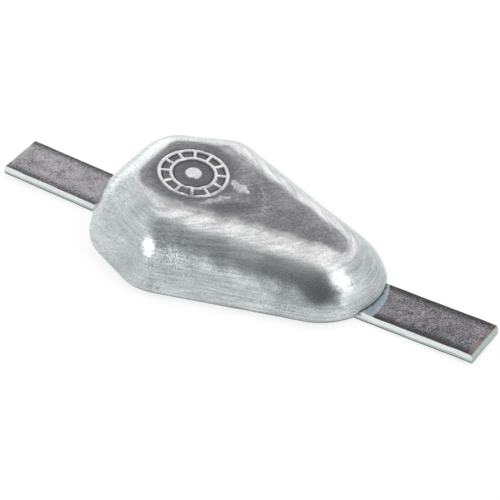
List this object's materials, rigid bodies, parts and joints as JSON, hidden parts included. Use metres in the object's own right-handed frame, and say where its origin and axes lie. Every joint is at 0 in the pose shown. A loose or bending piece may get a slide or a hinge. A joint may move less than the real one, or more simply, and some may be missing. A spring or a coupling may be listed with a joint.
{
  "type": "sacrificial anode",
  "caption": "Teardrop hull anode: a rounded soft-metal casting on a flat steel bar that runs through it, flush with the flat back, with bare ends for welding.",
  "frame": {"origin": "middle of the bar's length, on the flat back that faces the hull", "axes": "+X along the bar towards the casting's narrow nose, +Y across it, +Z away from the hull"},
  "size_m": [0.309, 0.1224, 0.0463],
  "materials": {
    "cast_anode_metal": "cast and wire-brushed",
    "mill_scale_steel": "hot-rolled, dark scale on the wide faces, bright sheared edges"
  },
  "bodies": {
    "root": {"anode_casting": "cast_anode_metal", "steel_strap": "mill_scale_steel"}
  },
  "joints": []
}
